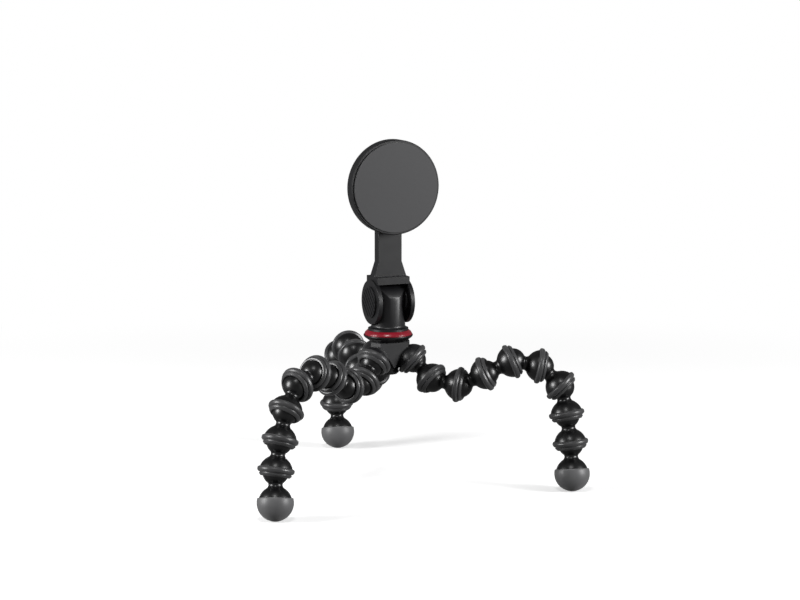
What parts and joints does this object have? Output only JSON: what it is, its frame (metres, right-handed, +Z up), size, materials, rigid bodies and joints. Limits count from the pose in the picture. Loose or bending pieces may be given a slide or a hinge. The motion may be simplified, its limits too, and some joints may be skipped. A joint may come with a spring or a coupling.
{
  "type": "flexible leg phone tripod",
  "caption": "small tripod with three bendable ball jointed legs, soft rings and feet, a panning hub, and a tilting arm with a round magnetic holder for a phone",
  "frame": {"origin": "on the floor below the middle of the part's box, with the legs posed as they stand", "axes": "+Z up; +Y towards the rear leg's foot, -Y towards the front leg's foot, +X towards the right leg"},
  "size_m": [0.196, 0.2386, 0.2107],
  "materials": {
    "black_plastic": "glossy, moulded",
    "satin_black": "satin, fine grain",
    "grey_plastic": "satin, brushed look",
    "red_plastic": "glossy",
    "grey_rubber": "matte",
    "nylon": "satin",
    "steel": "machined",
    "magnet_nickel": "nickel plated"
  },
  "bodies": {
    "hub": {"hub_body": "grey_plastic", "hub_ring_front": "grey_rubber", "hub_ring_right": "grey_rubber", "hub_ring_rear": "grey_rubber", "hub_base_cap": "satin_black", "pan_base": "satin_black"},
    "lock_ring": {"lock_ring": "red_plastic"},
    "head": {"stem": "satin_black", "pan_screw": "steel", "pan_spring_washer": "steel", "pan_friction_washer": "nylon"},
    "holder": {"fork_arm": "satin_black", "tilt_bolt": "steel", "tilt_nut": "steel", "tilt_friction_discs": "nylon", "hinge_cap_left": "satin_black", "hinge_cap_right": "satin_black", "arm_cover": "satin_black", "arm_cover_screws": "steel", "holder_back": "satin_black", "holder_screws": "steel", "steel_ring": "steel", "holder_magnets": "magnet_nickel", "holder_bezel": "satin_black", "face_pad": "grey_rubber"},
    "front_1": {"front_link_1": "black_plastic"},
    "front_2": {"front_link_2": "black_plastic"},
    "front_3": {"front_link_3": "black_plastic"},
    "front_4": {"front_link_4": "black_plastic"},
    "front_5": {"front_link_5": "black_plastic"},
    "front_6": {"front_link_6": "black_plastic"},
    "front_7": {"front_link_7": "black_plastic"},
    "front_8": {"front_link_8": "black_plastic"},
    "front_foot": {"front_foot_link": "black_plastic", "front_foot_cap": "grey_rubber"},
    "right_1": {"right_link_1": "black_plastic"},
    "right_2": {"right_link_2": "black_plastic"},
    "right_3": {"right_link_3": "black_plastic"},
    "right_4": {"right_link_4": "black_plastic"},
    "right_5": {"right_link_5": "black_plastic"},
    "right_6": {"right_link_6": "black_plastic"},
    "right_7": {"right_link_7": "black_plastic"},
    "right_8": {"right_link_8": "black_plastic"},
    "right_foot": {"right_foot_link": "black_plastic", "right_foot_cap": "grey_rubber"},
    "rear_1": {"rear_link_1": "black_plastic"},
    "rear_2": {"rear_link_2": "black_plastic"},
    "rear_3": {"rear_link_3": "black_plastic"},
    "rear_4": {"rear_link_4": "black_plastic"},
    "rear_5": {"rear_link_5": "black_plastic"},
    "rear_6": {"rear_link_6": "black_plastic"},
    "rear_7": {"rear_link_7": "black_plastic"},
    "rear_8": {"rear_link_8": "black_plastic"},
    "rear_foot": {"rear_foot_link": "black_plastic", "rear_foot_cap": "grey_rubber"}
  },
  "joints": [
    {"name": "lock_ring_turn", "type": "hinge", "parent": "hub", "child": "lock_ring", "pos_m": [-0.02325, -0.00458, 0.09165], "axis": [0, 0, 1], "range_deg": [0, 90]},
    {"name": "head_pan", "type": "hinge", "parent": "hub", "child": "head", "pos_m": [-0.02325, -0.00458, 0.09165], "axis": [0, 0, 1], "continuous": true},
    {"name": "head_tilt", "type": "hinge", "parent": "head", "child": "holder", "pos_m": [-0.02325, -0.00458, 0.11215], "axis": [0.9135, 0.4067, 0], "range_deg": [-90, 90]},
    {"name": "front_ball_1", "type": "hinge", "parent": "hub", "child": "front_1", "pos_m": [-0.0323, -0.01704, 0.07635], "axis": [-0.8836, 0.1204, 0.4525], "range_deg": [-50, 25]},
    {"name": "front_ball_2", "type": "hinge", "parent": "front_1", "child": "front_2", "pos_m": [-0.03896, -0.03012, 0.06682], "axis": [-0.1776, -0.2173, 0.9598], "range_deg": [-17, 17]},
    {"name": "front_ball_3", "type": "hinge", "parent": "front_2", "child": "front_3", "pos_m": [-0.04744, -0.04542, 0.06713], "axis": [-0.8379, 0.4586, -0.296], "range_deg": [-63, 12]},
    {"name": "front_ball_4", "type": "hinge", "parent": "front_3", "child": "front_4", "pos_m": [-0.05699, -0.05809, 0.07452], "axis": [0.1598, -0.5082, -0.8463], "range_deg": [-36, 36]},
    {"name": "front_ball_5", "type": "hinge", "parent": "front_4", "child": "front_5", "pos_m": [-0.0661, -0.07212, 0.07964], "axis": [0.8211, -0.5643, -0.0853], "range_deg": [-72, 3]},
    {"name": "front_ball_6", "type": "hinge", "parent": "front_5", "child": "front_6", "pos_m": [-0.07594, -0.08566, 0.07452], "axis": [0.3893, 0.4086, -0.8255], "range_deg": [-16, 16]},
    {"name": "front_ball_7", "type": "hinge", "parent": "front_6", "child": "front_7", "pos_m": [-0.08178, -0.095, 0.06092], "axis": [0.8395, -0.5431, 0.0127], "range_deg": [-56, 19]},
    {"name": "front_ball_8", "type": "hinge", "parent": "front_7", "child": "front_8", "pos_m": [-0.08501, -0.10038, 0.04458], "axis": [-0.5617, -0.7681, 0.3074], "range_deg": [-37, 37]},
    {"name": "front_ball_9", "type": "hinge", "parent": "front_8", "child": "front_foot", "pos_m": [-0.0872, -0.10434, 0.02768], "axis": [-0.1178, -0.9633, 0.2411], "range_deg": [-44, 31]},
    {"name": "right_ball_1", "type": "hinge", "parent": "hub", "child": "right_1", "pos_m": [-0.00793, -0.00619, 0.07635], "axis": [-0.6836, 0.0061, -0.7298], "range_deg": [-59, 16]},
    {"name": "right_ball_2", "type": "hinge", "parent": "right_1", "child": "right_2", "pos_m": [0.0035, -0.0139, 0.06558], "axis": [-0.5104, -0.3103, -0.802], "range_deg": [-16, 16]},
    {"name": "right_ball_3", "type": "hinge", "parent": "right_2", "child": "right_3", "pos_m": [0.02024, -0.01839, 0.06314], "axis": [-0.2281, -0.9548, 0.1907], "range_deg": [-72, 3]},
    {"name": "right_ball_4", "type": "hinge", "parent": "right_3", "child": "right_4", "pos_m": [0.03582, -0.02058, 0.07081], "axis": [0.0827, 0.9865, -0.1415], "range_deg": [-35, 35]},
    {"name": "right_ball_5", "type": "hinge", "parent": "right_4", "child": "right_5", "pos_m": [0.05172, -0.01891, 0.07793], "axis": [-0.0435, 0.9899, -0.1351], "range_deg": [-73, 2]},
    {"name": "right_ball_6", "type": "hinge", "parent": "right_5", "child": "right_6", "pos_m": [0.06889, -0.01861, 0.07459], "axis": [0.4691, 0.1733, 0.866], "range_deg": [-15, 15]},
    {"name": "right_ball_7", "type": "hinge", "parent": "right_6", "child": "right_7", "pos_m": [0.08117, -0.02011, 0.06222], "axis": [-0.0247, 0.9891, -0.1451], "range_deg": [-72, 3]},
    {"name": "right_ball_8", "type": "hinge", "parent": "right_7", "child": "right_8", "pos_m": [0.08428, -0.02254, 0.04517], "axis": [-0.6699, 0.7184, -0.1875], "range_deg": [-37, 37]},
    {"name": "right_ball_9", "type": "hinge", "parent": "right_8", "child": "right_foot", "pos_m": [0.08655, -0.02407, 0.02788], "axis": [-0.7514, 0.6413, -0.1555], "range_deg": [-45, 30]},
    {"name": "rear_ball_1", "type": "hinge", "parent": "hub", "child": "rear_1", "pos_m": [-0.02951, 0.00949, 0.07635], "axis": [-0.2717, -0.744, -0.6104], "range_deg": [-43, 32]},
    {"name": "rear_ball_2", "type": "hinge", "parent": "rear_1", "child": "rear_2", "pos_m": [-0.03306, 0.02111, 0.06376], "axis": [-0.0536, 0.5476, 0.835], "range_deg": [-27, 27]},
    {"name": "rear_ball_3", "type": "hinge", "parent": "rear_2", "child": "rear_3", "pos_m": [-0.03704, 0.03707, 0.05778], "axis": [0.9726, 0.2304, -0.0323], "range_deg": [-68, 7]},
    {"name": "rear_ball_4", "type": "hinge", "parent": "rear_3", "child": "rear_4", "pos_m": [-0.04092, 0.05386, 0.06082], "axis": [-0.0927, -0.3382, 0.9365], "range_deg": [-34, 34]},
    {"name": "rear_ball_5", "type": "hinge", "parent": "rear_4", "child": "rear_5", "pos_m": [-0.04525, 0.06898, 0.06849], "axis": [-0.9683, -0.2354, -0.0832], "range_deg": [-60, 15]},
    {"name": "rear_ball_6", "type": "hinge", "parent": "rear_5", "child": "rear_6", "pos_m": [-0.04948, 0.08592, 0.06971], "axis": [-0.1159, -0.2677, -0.9565], "range_deg": [-15, 15]},
    {"name": "rear_ball_7", "type": "hinge", "parent": "rear_6", "child": "rear_7", "pos_m": [-0.05491, 0.10007, 0.06096], "axis": [0.9283, 0.371, 0.0237], "range_deg": [-3, 72]},
    {"name": "rear_ball_8", "type": "hinge", "parent": "rear_7", "child": "rear_8", "pos_m": [-0.05741, 0.10732, 0.04523], "axis": [-0.3804, 0.8891, 0.2546], "range_deg": [-30, 30]},
    {"name": "rear_ball_9", "type": "hinge", "parent": "rear_8", "child": "rear_foot", "pos_m": [-0.05732, 0.10854, 0.02777], "axis": [0.9914, 0.1299, 0.0139], "range_deg": [-21, 54]}
  ]
}
